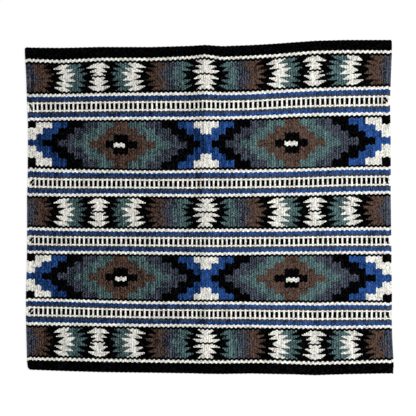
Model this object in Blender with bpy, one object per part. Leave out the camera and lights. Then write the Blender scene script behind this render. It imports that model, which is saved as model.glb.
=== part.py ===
"""Tapestry-woven saddle blanket, lying flat.

The blanket is a weft-faced tapestry. One long warp cord runs up and down the
whole length, and thick weft yarn is packed over it in bands of colour. Two
strong cords close the sides and two more close the ends. The blanket folds
along the line that lies over the animal's spine, so it is built as a narrow
spine strip with a near side and an off side hinged to it.

Frame: X runs across the blanket (near side at -X, off side at +X), Y runs
along the spine (front at +Y), Z is up, and the underside lies on Z = 0.
"""

import math

import bmesh
import bpy

# Overall sizes in metres
BLANKET_WIDTH = 0.965
BLANKET_LENGTH = 0.883
BLANKET_THICKNESS = 0.008
NEAR_SIDE_WIDTH = 0.469
SPINE_STRIP_WIDTH = 0.016

# Yarn and cord sizes in metres
WARP_DIAMETER = 0.0026
WARP_LOOP_RISE = 0.0024
SLEEVE_WALL = 0.0016
RIM_CORD_DIAMETER = 0.008
SIDE_CORD_DIAMETER = 0.0064
KNOT_DIAMETER = 0.0078
KNOT_LENGTH = 0.009

# Clearances in metres
PIECE_GAP = 0.0003
FOLD_CLEARANCE = 0.00025
HINGE_SKIN = 0.00085
CUT_OVERRUN = 0.002
WELD_DISTANCE = 0.00001

# Threads of the warp, and sleeves that a plain band of one side wraps them in
NEAR_WARP_COUNT = 75
OFF_WARP_COUNT = 77
SLEEVE_COUNT = 8
SMOOTH_ANGLE = math.radians(50)

# Steps of the stepped motifs, counted in warps from the fold
NEAR_STEPS = (4, 7, 11, 14, 18, 21, 24, 28, 32, 38, 41, 45, 48, 51, 55, 58, 62, 65, 69, 72)
OFF_STEPS = (6, 9, 13, 16, 20, 23, 26, 30, 34, 40, 43, 47, 50, 53, 57, 60, 64, 67, 71, 74)
CORE_STEP = 8
STEP_ROWS = 7

# Depth of each weft band from the front end to the rear end
BAND_NAMES = (
    "end_front", "serrated_front", "ladder_front", "stepped_front", "ladder_fore_middle",
    "serrated_middle", "ladder_rear_middle", "stepped_rear", "ladder_rear", "serrated_rear",
    "end_rear",
)
BAND_DEPTH_SHARES = (
    0.0330, 0.1004, 0.0907, 0.1416, 0.0942, 0.0968, 0.0881, 0.1411, 0.0886, 0.0968, 0.0287,
)

# How far the two ends lie from the middle, as shares of half the length, at
# stations that are shares of each side's width counted from the fold
NEAR_STATION_SHARES = (0.0, 0.2, 0.65, 1.0)
NEAR_FRONT_SHARES = (0.970, 0.958, 0.958, 0.952)
NEAR_REAR_SHARES = (0.994, 0.990, 0.982, 0.964)
OFF_STATION_SHARES = (0.0, 0.25, 0.55, 1.0)
OFF_FRONT_SHARES = (0.970, 0.970, 0.994, 1.000)
OFF_REAR_SHARES = (0.994, 0.995, 1.000, 0.994)

# Shape of the knot that ends a side cord: places along the knot and its girth there
KNOT_PLACE_SHARES = (0.0, 0.18, 0.75)
KNOT_GIRTH_SHARES = (0.72, 1.0, 1.0)

# Colour and roughness of the yarns
YARNS = {
    "black": ((0.010, 0.010, 0.012, 1.0), 0.92),
    "serrated": ((0.030, 0.032, 0.038, 1.0), 0.92),
    "ladder": ((0.30, 0.31, 0.34, 1.0), 0.90),
    "blue": ((0.016, 0.050, 0.190, 1.0), 0.90),
    "brown": ((0.100, 0.050, 0.036, 1.0), 0.92),
    "teal": ((0.066, 0.150, 0.138, 1.0), 0.90),
    "warp": ((0.620, 0.600, 0.540, 1.0), 0.88),
    "cord": ((0.012, 0.012, 0.014, 1.0), 0.90),
}
BAND_YARNS = (
    "black", "serrated", "ladder", "blue", "ladder", "serrated", "ladder", "blue", "ladder",
    "serrated", "black",
)

# Places worked out from the sizes above
MIDDLE_HEIGHT = BLANKET_THICKNESS / 2
FOLD_X = NEAR_SIDE_WIDTH - BLANKET_WIDTH / 2
STRIP_HALF = SPINE_STRIP_WIDTH / 2
HALF_LENGTH = BLANKET_LENGTH / 2
HALF_GAP = PIECE_GAP / 2
WARP_RADIUS = WARP_DIAMETER / 2
SLEEVE_HEIGHT = WARP_DIAMETER + 2 * PIECE_GAP
SLEEVE_REACH = WARP_RADIUS + PIECE_GAP
FOLD_SETBACK = FOLD_CLEARANCE * math.sqrt(2)
HINGE_TO_WARP = FOLD_SETBACK + SLEEVE_HEIGHT / 2 + HINGE_SKIN + SLEEVE_REACH
SPINE_WARP = STRIP_HALF - HINGE_TO_WARP
LOOP_POCKET_DEPTH = WARP_LOOP_RISE + WARP_RADIUS * math.sqrt(2) + PIECE_GAP


class Side:
    """One side of the blanket, measured outward from the fold."""

    def __init__(self, name, sign, width, warps, steps, stations, front, rear):
        self.name = name
        self.sign = sign
        self.steps = steps
        self.warps = warps
        self.inner = STRIP_HALF
        self.outer = width - KNOT_DIAMETER - PIECE_GAP
        self.width = width
        self.stations = [STRIP_HALF + share * (width - STRIP_HALF) for share in stations]
        self.front = front
        self.rear = rear
        self.first_warp = STRIP_HALF + HINGE_TO_WARP
        self.last_warp = self.outer - SLEEVE_WALL - SLEEVE_REACH
        self.pitch = (self.last_warp - self.first_warp) / (warps - 1)

    def share_at(self, shares, distance):
        """Share of half the length that an end reaches at a distance from the fold."""
        last = len(self.stations) - 1
        for index in range(last):
            start = self.stations[index]
            end = self.stations[index + 1]
            if distance <= end or index == last - 1:
                part = (distance - start) / (end - start)
                part = max(part, 0.0)
                return shares[index] + part * (shares[index + 1] - shares[index])
        return shares[last]

    def rim(self, distance, along):
        """Outer line of the front end (along 1) or the rear end (along 0)."""
        if along:
            return HALF_LENGTH * self.share_at(self.front, distance)
        return -HALF_LENGTH * self.share_at(self.rear, distance)

    def point(self, distance, along, shift=0.0):
        """World X and Y at a distance from the fold and a share along the field."""
        rear = self.rim(distance, 0) + RIM_CORD_DIAMETER + HALF_GAP
        front = self.rim(distance, 1) - RIM_CORD_DIAMETER - HALF_GAP
        return (FOLD_X + self.sign * distance, rear + along * (front - rear) + shift)

    def edge(self, start, end, along, shift):
        """Points of one band edge between two distances, with the stations between."""
        low = min(start, end)
        high = max(start, end)
        between = [d for d in self.stations if low < d < high]
        if end < start:
            between.reverse()
        return [self.point(d, along, shift) for d in [start] + between + [end]]

    def warp(self, number):
        return self.first_warp + (number - 1) * self.pitch

    def column(self, warps):
        """Line midway between two warps, or the inner or outer edge of the side."""
        if warps <= 0:
            return self.inner
        if warps >= self.warps:
            return self.outer
        return self.first_warp + (warps - 0.5) * self.pitch


NEAR = Side("near", -1, NEAR_SIDE_WIDTH, NEAR_WARP_COUNT, NEAR_STEPS,
            NEAR_STATION_SHARES, NEAR_FRONT_SHARES, NEAR_REAR_SHARES)
OFF = Side("off", 1, BLANKET_WIDTH - NEAR_SIDE_WIDTH, OFF_WARP_COUNT, OFF_STEPS,
           OFF_STATION_SHARES, OFF_FRONT_SHARES, OFF_REAR_SHARES)


def clear_scene():
    for item in list(bpy.data.objects):
        bpy.data.objects.remove(item, do_unlink=True)


def new_collection(name):
    collection = bpy.data.collections.new(name)
    bpy.context.scene.collection.children.link(collection)
    return collection


def yarn_material(name, yarn):
    colour, roughness = YARNS[yarn]
    material = bpy.data.materials.new(name)
    material.use_nodes = True
    shader = material.node_tree.nodes["Principled BSDF"]
    shader.inputs["Base Color"].default_value = colour
    shader.inputs["Roughness"].default_value = roughness
    shader.inputs["Metallic"].default_value = 0.0
    material.diffuse_color = colour
    return material


def hinge_empty(name, x):
    empty = bpy.data.objects.new(name, None)
    empty.location = (x, 0, MIDDLE_HEIGHT)
    empty.empty_display_size = SPINE_STRIP_WIDTH
    blanket.objects.link(empty)
    return empty


def mesh_object(curve, name, collection):
    """Turn a curve object into a closed mesh object with welded caps."""
    bpy.context.view_layer.update()
    depsgraph = bpy.context.evaluated_depsgraph_get()
    mesh = bpy.data.meshes.new_from_object(curve.evaluated_get(depsgraph))
    work = bmesh.new()
    work.from_mesh(mesh)
    bmesh.ops.remove_doubles(work, verts=work.verts, dist=WELD_DISTANCE)
    bmesh.ops.recalc_face_normals(work, faces=work.faces)
    work.to_mesh(mesh)
    work.free()
    item = bpy.data.objects.new(name, mesh)
    item.matrix_world = curve.matrix_world.copy()
    collection.objects.link(item)
    data = curve.data
    bpy.data.objects.remove(curve, do_unlink=True)
    bpy.data.curves.remove(data)
    return item


def flat_piece(name, outlines, thickness, collection, upright=False):
    """Closed plate from flat outlines, centred on the middle of the thickness."""
    data = bpy.data.curves.new(name, "CURVE")
    data.dimensions = "2D"
    data.fill_mode = "BOTH"
    data.extrude = thickness / 2
    centre_x = sum(p[0] for outline in outlines for p in outline)
    centre_y = sum(p[1] for outline in outlines for p in outline)
    total = sum(len(outline) for outline in outlines)
    centre_x = centre_x / total
    centre_y = centre_y / total
    for outline in outlines:
        spline = data.splines.new("POLY")
        spline.points.add(len(outline) - 1)
        for point, place in zip(spline.points, outline):
            point.co = (place[0] - centre_x, place[1] - centre_y, 0, 1)
        spline.use_cyclic_u = True
    curve = bpy.data.objects.new(name + "_outline", data)
    if upright:
        curve.rotation_euler = (math.pi / 2, 0, 0)
        curve.location = (centre_x, 0, centre_y)
    else:
        curve.location = (centre_x, centre_y, MIDDLE_HEIGHT)
    collection.objects.link(curve)
    return mesh_object(curve, name, collection)


def cord(name, places, radius, sides_level, collection, girths=None):
    """Closed cord along places given in world metres."""
    data = bpy.data.curves.new(name, "CURVE")
    data.dimensions = "3D"
    data.bevel_depth = radius
    data.bevel_resolution = sides_level
    data.use_fill_caps = True
    data.twist_mode = "Z_UP"
    start = places[0]
    spline = data.splines.new("POLY")
    spline.points.add(len(places) - 1)
    for index, place in enumerate(places):
        spline.points[index].co = (place[0] - start[0], place[1] - start[1], 0, 1)
        if girths:
            spline.points[index].radius = girths[index]
    curve = bpy.data.objects.new(name + "_line", data)
    curve.location = (start[0], start[1], MIDDLE_HEIGHT)
    collection.objects.link(curve)
    item = mesh_object(curve, name, collection)
    item.data.shade_smooth()
    item.data.set_sharp_from_angle(angle=SMOOTH_ANGLE)
    return item


def finish(item, parent, yarn, cuts=()):
    """Give a piece its yarn, its cuts and its place under a hinge."""
    item.data.materials.clear()
    item.data.materials.append(yarn_material(item.name, yarn))
    place = item.location.copy()
    item.parent = parent
    item.location = place - parent.location
    for cutter in cuts:
        modifier = item.modifiers.new("cut_" + cutter.name, "BOOLEAN")
        modifier.operation = "DIFFERENCE"
        modifier.solver = "EXACT"
        modifier.object = cutter
    return item


def hide_cutter(item):
    item.hide_render = True
    item.display_type = "WIRE"
    return item


def sleeve_cutter(side, bounds, name):
    """Row of straight sleeves for the warp, with a wall at each bound between two."""
    outlines = []
    reach = HALF_LENGTH + CUT_OVERRUN
    for low, high in zip(bounds[:-1], bounds[1:]):
        start = side.column(low) + SLEEVE_WALL / 2
        end = side.column(high) - SLEEVE_WALL / 2
        if low == 0:
            start = side.first_warp - SLEEVE_REACH
        if high == side.warps:
            end = side.last_warp + SLEEVE_REACH
        xs = (FOLD_X + side.sign * start, FOLD_X + side.sign * end)
        outlines.append([(xs[0], -reach), (xs[1], -reach), (xs[1], reach), (xs[0], reach)])
    return hide_cutter(flat_piece(name, outlines, SLEEVE_HEIGHT, cutters))


def spine_sleeve_cutter():
    outlines = []
    reach = HALF_LENGTH + CUT_OVERRUN
    for sign in (-1, 1):
        inner = FOLD_X + sign * (SPINE_WARP - SLEEVE_REACH)
        outer = FOLD_X + sign * (SPINE_WARP + SLEEVE_REACH)
        outlines.append([(inner, -reach), (outer, -reach), (outer, reach), (inner, reach)])
    return hide_cutter(flat_piece("cut_spine_sleeves", outlines, SLEEVE_HEIGHT, cutters))


def fold_outline(hinge_x, toward):
    """Section that leaves a wedge whose point lies just short of the hinge line."""
    tip = hinge_x + toward * FOLD_SETBACK
    rise = MIDDLE_HEIGHT + CUT_OVERRUN
    back = tip + toward * rise
    far = hinge_x - toward * STRIP_HALF
    low = MIDDLE_HEIGHT - rise
    high = MIDDLE_HEIGHT + rise
    return [(tip, MIDDLE_HEIGHT), (back, high), (far, high), (far, low), (back, low)]


def fold_cutter(name, outlines):
    length = BLANKET_LENGTH + CUT_OVERRUN
    return hide_cutter(flat_piece(name, outlines, length, cutters, upright=True))


def pocket_outline(points_at, along, shift_sign):
    """Ribbon along a field end that makes room for the warp loops in the end cord."""
    inner = points_at(along, -shift_sign * PIECE_GAP)
    outer = points_at(along, shift_sign * LOOP_POCKET_DEPTH)
    return inner + list(reversed(outer))


def side_pocket(side, along):
    shift_sign = 1 if along else -1
    start = side.first_warp - SLEEVE_REACH
    end = side.last_warp + SLEEVE_REACH

    def points_at(share, shift):
        return side.edge(start, end, share, shift)

    return pocket_outline(points_at, along, shift_sign)


def spine_edge(reach, along, shift):
    """Band edge across the spine strip from near to off."""
    near = NEAR.point(STRIP_HALF, along, shift)
    off = OFF.point(STRIP_HALF, along, shift)
    return [(FOLD_X - reach, near[1]), (FOLD_X + reach, off[1])]


def spine_pocket(along):
    shift_sign = 1 if along else -1

    def points_at(share, shift):
        return spine_edge(SPINE_WARP + SLEEVE_REACH, share, shift)

    return pocket_outline(points_at, along, shift_sign)


def stepped_outline(side, inners, outers, front, rear):
    """Outline of an inlay whose two sides step in and out from row to row."""
    rows = len(inners)
    lines = [front + (rear - front) * row / rows for row in range(rows + 1)]
    ins = [d + (HALF_GAP if d > side.inner else 0) for d in inners]
    outs = [d - (HALF_GAP if d < side.outer else 0) for d in outers]
    points = side.edge(ins[0], outs[0], front, -HALF_GAP)
    for row in range(1, rows):
        if outs[row] != outs[row - 1]:
            shift = -HALF_GAP if outs[row] > outs[row - 1] else HALF_GAP
            points.append(side.point(outs[row - 1], lines[row], shift))
            points.append(side.point(outs[row], lines[row], shift))
    points += side.edge(outs[-1], ins[-1], rear, HALF_GAP)
    for row in reversed(range(1, rows)):
        if ins[row] != ins[row - 1]:
            shift = HALF_GAP if ins[row - 1] < ins[row] else -HALF_GAP
            points.append(side.point(ins[row], lines[row], shift))
            points.append(side.point(ins[row - 1], lines[row], shift))
    return points


def serpentine(places):
    """Warp path: each place is (x, rear y, front y), joined by loops at the ends."""
    path = []
    last = len(places) - 1
    for index, (x, rear, front) in enumerate(places):
        forward = index % 2 == 0
        first_y = rear if forward else front
        last_y = front if forward else rear
        loop = WARP_LOOP_RISE if forward else -WARP_LOOP_RISE
        if index == 0:
            first_y = rear + PIECE_GAP
        path.append((x, first_y))
        if index == last:
            path.append((x, last_y - PIECE_GAP if forward else last_y + PIECE_GAP))
            continue
        path.append((x, last_y))
        following = places[index + 1]
        next_y = following[2] if forward else following[1]
        path.append(((x + following[0]) / 2, (last_y + next_y) / 2 + loop))
    return path


def weft_bands():
    """Share along the field at the front and rear of each band."""
    total = sum(BAND_DEPTH_SHARES)
    bounds = []
    front = 1.0
    for share in BAND_DEPTH_SHARES:
        rear = front - share / total
        bounds.append((front, max(rear, 0.0)))
        front = rear
    return bounds


def build_stepped_band(side, band, front, rear, parent, cuts, fold_cut):
    """Stepped band of one side: ground at both sides of a brown and teal medallion."""
    offsets = [STEP_ROWS // 2 - abs(STEP_ROWS // 2 - row) for row in range(STEP_ROWS)]
    steps = side.steps

    def columns(first, direction):
        return [side.column(steps[first + direction * offset]) for offset in offsets]

    core_in = columns(CORE_STEP, -1)
    core_out = columns(CORE_STEP + 1, 1)
    teal_in = columns(CORE_STEP - 2, -1)
    teal_out = columns(CORE_STEP + 3, 1)
    fold_edge = [side.inner] * STEP_ROWS
    side_edge = [side.outer] * STEP_ROWS
    pieces = (
        ("ground_by_fold", fold_edge, teal_in, "blue", True),
        ("teal_by_fold", teal_in, core_in, "teal", False),
        ("core", core_in, core_out, "brown", False),
        ("teal_by_side", core_out, teal_out, "teal", False),
        ("ground_by_side", teal_out, side_edge, "blue", False),
    )
    for label, inners, outers, yarn, at_fold in pieces:
        name = side.name + "_" + band + "_" + label
        outline = stepped_outline(side, inners, outers, front, rear)
        item = flat_piece(name, [outline], BLANKET_THICKNESS, blanket)
        finish(item, parent, yarn, cuts + ([fold_cut] if at_fold else []))


def build_side(side, parent, fold_cut):
    step_low = side.steps[CORE_STEP - 5]
    step_high = side.steps[CORE_STEP + 6]
    broad = [side.warps * part // SLEEVE_COUNT for part in range(SLEEVE_COUNT + 1)]
    fine = [0, side.steps[1]]
    fine += [step for step in side.steps if step_low <= step <= step_high]
    fine += [side.steps[CORE_STEP + 8], side.steps[CORE_STEP + 10], side.warps]
    broad_cut = sleeve_cutter(side, broad, "cut_" + side.name + "_broad_sleeves")
    fine_cut = sleeve_cutter(side, fine, "cut_" + side.name + "_fine_sleeves")
    for band, yarn, (front, rear) in zip(BAND_NAMES, BAND_YARNS, weft_bands()):
        if band.startswith("stepped"):
            build_stepped_band(side, band, front, rear, parent, [fine_cut], fold_cut)
            continue
        outline = side.edge(side.inner, side.outer, front, -HALF_GAP)
        outline += side.edge(side.outer, side.inner, rear, HALF_GAP)
        item = flat_piece(side.name + "_" + band, [outline], BLANKET_THICKNESS, blanket)
        finish(item, parent, yarn, [broad_cut, fold_cut])

    # The end cords twine over the warp loops
    for along, label in ((1, "front"), (0, "rear")):
        inward = -1 if along else 1
        ends = [side.inner] + [d for d in side.stations if side.inner < d < side.outer]
        ends.append(side.outer)
        places = []
        for distance in ends:
            y = side.rim(distance, along) + inward * RIM_CORD_DIAMETER / 2
            places.append((FOLD_X + side.sign * distance, y))
        name = side.name + "_end_cord_" + label
        item = cord(name, places, RIM_CORD_DIAMETER / 2, 2, blanket)
        pocket = flat_piece("cut_" + name + "_pocket", [side_pocket(side, along)],
                            SLEEVE_HEIGHT, cutters)
        hide_cutter(pocket)
        finish(item, parent, "cord", [pocket, fold_cut])

    # The side cord runs the whole length and is knotted at both corners
    cord_x = side.width - KNOT_DIAMETER + SIDE_CORD_DIAMETER / 2
    knot_x = side.width - KNOT_DIAMETER / 2
    swell = KNOT_DIAMETER / SIDE_CORD_DIAMETER
    rear = side.rim(side.outer, 0)
    front = side.rim(side.outer, 1)
    knot = list(zip(KNOT_PLACE_SHARES, KNOT_GIRTH_SHARES))
    places = [(knot_x, rear + place * KNOT_LENGTH) for place, girth in knot]
    places += [(cord_x, rear + KNOT_LENGTH), (cord_x, front - KNOT_LENGTH)]
    places += [(knot_x, front - place * KNOT_LENGTH) for place, girth in reversed(knot)]
    places = [(FOLD_X + side.sign * distance, y) for distance, y in places]
    girths = [girth * swell for place, girth in knot]
    girths = girths + [1.0, 1.0] + girths[::-1]
    item = cord(side.name + "_side_cord", places, SIDE_CORD_DIAMETER / 2, 2, blanket, girths)
    finish(item, parent, "cord")

    # The warp is one cord that turns back at each end
    places = []
    for number in range(1, side.warps + 1):
        distance = side.warp(number)
        x, rear = side.point(distance, 0.0)
        x, front = side.point(distance, 1.0)
        places.append((x, rear, front))
    item = cord("warp_" + side.name, serpentine(places), WARP_RADIUS, 0, blanket)
    finish(item, parent, "warp")


def build_spine(parent, fold_cut):
    sleeves = spine_sleeve_cutter()
    for band, yarn, (front, rear) in zip(BAND_NAMES, BAND_YARNS, weft_bands()):
        outline = spine_edge(STRIP_HALF, front, -HALF_GAP)
        outline += reversed(spine_edge(STRIP_HALF, rear, HALF_GAP))
        item = flat_piece("spine_" + band, [outline], BLANKET_THICKNESS, blanket)
        finish(item, parent, yarn, [sleeves, fold_cut])
    for along, label in ((1, "front"), (0, "rear")):
        inward = -1 if along else 1
        y = NEAR.rim(STRIP_HALF, along) + inward * RIM_CORD_DIAMETER / 2
        name = "spine_end_cord_" + label
        places = [(FOLD_X - STRIP_HALF, y), (FOLD_X + STRIP_HALF, y)]
        item = cord(name, places, RIM_CORD_DIAMETER / 2, 2, blanket)
        pocket = flat_piece("cut_" + name + "_pocket", [spine_pocket(along)],
                            SLEEVE_HEIGHT, cutters)
        hide_cutter(pocket)
        finish(item, parent, "cord", [pocket, fold_cut])
    rear = spine_edge(SPINE_WARP, 0.0, 0.0)
    front = spine_edge(SPINE_WARP, 1.0, 0.0)
    places = [(rear[i][0], rear[i][1], front[i][1]) for i in (0, 1)]
    item = cord("warp_spine", serpentine(places), WARP_RADIUS, 0, blanket)
    finish(item, parent, "warp")


clear_scene()
blanket = new_collection("saddle_blanket")
cutters = new_collection("cutters")

near_hinge = hinge_empty("near_hinge", FOLD_X - STRIP_HALF)
off_hinge = hinge_empty("off_hinge", FOLD_X + STRIP_HALF)
spine_line = hinge_empty("spine_line", FOLD_X)

near_fold = fold_cutter("cut_near_fold", [fold_outline(FOLD_X - STRIP_HALF, -1)])
off_fold = fold_cutter("cut_off_fold", [fold_outline(FOLD_X + STRIP_HALF, 1)])
spine_fold = fold_cutter("cut_spine_fold", [
    fold_outline(FOLD_X - STRIP_HALF, 1),
    fold_outline(FOLD_X + STRIP_HALF, -1),
])

build_side(NEAR, near_hinge, near_fold)
build_side(OFF, off_hinge, off_fold)
build_spine(spine_line, spine_fold)
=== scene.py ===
"""Looks for the woven saddle blanket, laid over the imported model.

The cloth is built float by float. A weft yarn shows wherever it passes over a warp, so each
float is one small cushion two picks tall, and its colour follows the pattern's own counts:
which pick it belongs to, and which warp it crosses. Lengths are in metres in the row frame,
but for the drawing's tables, which are in drawing units.
"""

import bpy
import numpy as np
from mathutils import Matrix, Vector


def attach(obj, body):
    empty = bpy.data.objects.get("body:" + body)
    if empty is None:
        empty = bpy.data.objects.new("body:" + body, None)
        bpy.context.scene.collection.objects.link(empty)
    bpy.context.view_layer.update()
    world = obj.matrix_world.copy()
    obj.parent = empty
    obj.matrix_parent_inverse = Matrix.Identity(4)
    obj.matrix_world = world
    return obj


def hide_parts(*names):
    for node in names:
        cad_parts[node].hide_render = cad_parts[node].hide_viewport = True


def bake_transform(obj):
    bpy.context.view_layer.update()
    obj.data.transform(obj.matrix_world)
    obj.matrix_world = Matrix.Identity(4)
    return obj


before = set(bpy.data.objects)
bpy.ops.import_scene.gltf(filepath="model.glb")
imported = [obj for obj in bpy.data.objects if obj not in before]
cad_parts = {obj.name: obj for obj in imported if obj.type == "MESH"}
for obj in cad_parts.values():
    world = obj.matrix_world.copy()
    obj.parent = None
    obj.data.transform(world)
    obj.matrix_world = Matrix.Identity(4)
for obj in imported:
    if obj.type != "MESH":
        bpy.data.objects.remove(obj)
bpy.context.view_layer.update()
rng = np.random.default_rng(38)

# ---------------------------------------------------------------- the drawing
UNIT = 0.002644  # one drawing unit
FOLD_X = -0.0135  # where the two halves meet
FOLD_U, MIDDLE_V = 204.0, 207.0  # the drawing's place of the fold and of the middle
THICKNESS = 0.008
MIDDLE_Z = THICKNESS / 2

WARPS, PICKS, FOLD_WARP = 156, 341, 77

# Where every fourth warp lies across the blanket, and then the last one.
WARP_STEP = 4
WARP_STATIONS = (
    28.9, 36.3, 45.2, 54.2, 63.2, 72.2, 81.2, 90.7, 99.8, 109.0, 118.2, 127.8, 137.0,
    146.7, 156.0, 165.3, 175.2, 184.7, 194.0, 202.3, 210.9, 220.0, 229.1, 238.3, 248.1,
    257.7, 267.3, 276.9, 286.8, 296.1, 305.8, 315.0, 325.1, 334.8, 344.3, 354.1, 364.0,
    373.8, 382.3, 388.6,
)
# Where the side edges lie, by height.
SIDE_V = (44, 52, 76, 100, 124, 148, 172, 184, 196, 220, 244, 268, 292, 316, 340, 361, 366, 372)
LEFT_EDGE = (
    24.4, 24.4, 25.8, 26.5, 27.55, 27.5, 27.35, 27.2, 26.6, 26.7, 26.7, 26.3, 25.55, 25.5, 26.1,
    26.6, 27.2, 29.4,
)
RIGHT_EDGE = (
    391.3, 391.3, 390.3, 389.4, 389.9, 390.1, 390.15, 390.1, 390.1, 390.4, 390.8, 390.9, 391.45,
    391.05, 391.75, 392.9, 393.1, 392.2,
)
# How far the warps wander to the off side, by height and place.
WANDER_V = (54, 106, 182, 251, 312, 366)
WANDER_U = (28, 40, 64, 88, 136, 160, 208, 232, 280, 304, 328, 352, 376, 389)
WANDER = (
    (0.0, 0.0, 0.25, -0.25, -0.5, -0.25, -0.5, -0.5, -0.25, -0.5, -0.75, 1.0, 0.25, 0.0),
    (0.0, 0.6, 0.75, 0.25, 0.25, 0.25, -0.25, -0.5, -0.25, -0.25, -0.25, -0.1, 0.45, 0.0),
    (0.0, -0.05, 0.1, -0.2, 0.0, 0.0, 0.0, 0.0, 0.0, 0.0, -0.25, -0.1, -0.35, 0.0),
    (0.0, -0.4, 0.15, -0.15, 0.1, 0.35, -0.1, -0.75, -0.5, -0.4, -0.1, 0.1, 0.0, 0.0),
    (0.0, 0.1, 0.15, -0.2, -0.25, 0.25, 0.0, -0.75, -0.75, -0.75, -0.5, -0.15, -0.1, 0.0),
    (0.0, -0.75, -0.25, -0.25, -0.5, 0.0, 0.5, 0.25, 0.25, 0.0, -0.75, -0.25, -0.25, 0.0),
)

# The heights of the edges and of the cream lines' middles at stations across.
LINE_U = (30, 60, 100, 150, 190, 205, 222, 250, 272, 292, 315, 345, 388)
LINE_PICKS = (-1, 12.5, 47.5, 74.5, 126.5, 153.5, 188.5, 215.5, 266.5, 293.5, 328.5, 341)
LINE_V = (
    (48.1, 48.4, 47.5, 47.6, 46.4, 45.5, 46.7, 45.6, 44.4, 42.9, 41.3, 40.5, 40.5),
    (59.8, 61.0, 58.8, 58.7, 56.9, 54.9, 57.8, 56.5, 55.3, 53.6, 51.5, 51.0, 51.2),
    (95.0, 95.0, 94.1, 93.6, 93.2, 92.2, 93.2, 92.7, 91.2, 90.2, 89.1, 88.2, 87.4),
    (118.8, 118.3, 118.0, 117.7, 117.8, 117.2, 117.5, 116.7, 115.9, 114.7, 114.1, 113.6, 113.2),
    (169.4, 170.5, 171.0, 171.5, 170.9, 170.5, 170.8, 170.6, 170.2, 169.8, 168.9, 167.9, 167.6),
    (193.9, 194.5, 194.3, 194.4, 194.9, 194.6, 194.7, 194.3, 194.0, 193.7, 193.4, 192.4, 191.9),
    (228.2, 229.1, 229.5, 229.8, 230.0, 229.8, 229.9, 229.7, 229.9, 229.7, 228.9, 228.4, 228.2),
    (251.4, 251.9, 251.9, 252.5, 252.9, 253.3, 253.3, 253.0, 252.4, 252.4, 252.2, 252.0, 252.1),
    (299.3, 299.8, 301.1, 302.4, 302.4, 302.6, 302.5, 302.7, 303.3, 303.1, 303.6, 303.0, 303.4),
    (323.0, 323.5, 324.1, 324.8, 324.9, 325.5, 325.7, 325.6, 326.0, 326.2, 326.6, 326.6, 326.1),
    (358.4, 358.9, 359.8, 360.6, 361.2, 361.5, 361.4, 361.1, 361.2, 362.1, 362.9, 362.1, 360.8),
    (368.2, 369.4, 370.6, 371.2, 371.8, 372.3, 372.5, 372.0, 372.5, 372.8, 373.7, 372.7, 371.9),
)

# ---------------------------------------------------------------- the pattern
BLACK, CREAM, BLUE, BROWN, TEAL, SLATE, CHARCOAL = range(7)

# Bands from the front, each with its first pick.
BAND_NAMES = (
    "end_front", "serrated_front", "ladder_front", "stepped_front", "ladder_fore_middle",
    "serrated_middle", "ladder_rear_middle", "stepped_rear", "ladder_rear",
    "serrated_rear", "end_rear",
)
BAND_STARTS = (-1, 15, 46, 77, 125, 156, 187, 218, 265, 296, 327)
LINE_STARTS = (11, 327)  # the first pick of each cream line in the end bands
LINE_DEPTH = 4  # its picks
LADDER_MIDDLES = (61, 140, 202, 280)
SERRATED_MIDDLES = (30, 171, 311)
BAND_REACH = 15  # picks from the middle of a ladder or serrated band to its rim
STEPPED_BANDS = ((77, 125), (218, 265))
STEP_ROWS = ((79, 85, 91, 97, 104, 110, 116, 123), (220, 226, 232, 238, 245, 251, 257, 263))

# The steps' edges in warps from the blanket's side: outwards from a medallion's core to the
# side, and inwards from the core to the middle.
STEPS_TO_SIDE = (38.2, 34.7, 31.5, 27.6, 24.8, 20.9, 17.7, 13.8, 10.9, 6.8, 3.7, 0.0)
STEPS_TO_MIDDLE = (44.4, 48.5, 51.7, 55.7, 58.4, 62.5, 65.6, 69.3, 72.2, 75.6, 99.0, 99.0)
STEP_COLOURS = (BROWN, TEAL, SLATE, BLACK, BLUE, CREAM, BLACK)
# The cream patch of each core: its picks, and its edges in warps on the near and the off side.
CORE_PATCHES = (
    ((99, 103), (38.3, 43.0), (39.0, 45.0)),
    ((241, 245), (39.0, 43.7), (38.3, 43.7)),
)

# The colours across a ladder band, in picks from its middle.
LADDER_RIM, LADDER_BLUE, LADDER_CHARCOAL = 12, 9, 6
LADDER_BARS = (0, 2)  # the picks whose black floats make the bars

# By the blanket's sides, where the weft turns back, a ladder's last bar slants at one corner,
# and at the other a cream loop closes the ladder and a cream stroke crosses the bar. Places are
# in warps from the side, and slants in warps to a pick.
TURN_WARPS, TURN_PICKS = (2, 3), 3
BAR_TOP = 2.6
LAST_BAR, LAST_BAR_HALF, LAST_BAR_SLANTS = 1.55, 0.36, (0.13, -0.04)
LOOP, LOOP_FLARE, LOOP_MIDDLE = 1.0, 0.3, 0.3
STROKE, STROKE_HALF, STROKE_SLANT = 2.3, 0.16, 0.45


def is_off(place):
    return place > WARPS / 2


def from_side(place):
    return min(place, WARPS - place)


def turned(band, height, place):
    """The colour of a ladder's bars by the blanket's sides, where the weft turns back."""
    off = is_off(place)
    place = from_side(place)
    if place < 1 or abs(height) > BAR_TOP:
        return CREAM
    if off == (band > 0):
        slant = LAST_BAR_SLANTS[int(off)]
        return CREAM if abs(place - LAST_BAR - slant * height) > LAST_BAR_HALF else BLACK
    if place < LOOP + LOOP_FLARE * abs(height - LOOP_MIDDLE):
        return CREAM
    return CREAM if abs(place - STROKE + STROKE_SLANT * height) < STROKE_HALF else BLACK


def ladder(rise):
    """The colour of a ladder band's float, rise picks from the band's middle."""
    rise = abs(rise)
    if rise >= LADDER_RIM:
        return CREAM
    if rise >= LADDER_BLUE:
        return BLUE
    if rise >= LADDER_CHARCOAL:
        return CHARCOAL
    return BLACK if rise in LADDER_BARS else CREAM


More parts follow.
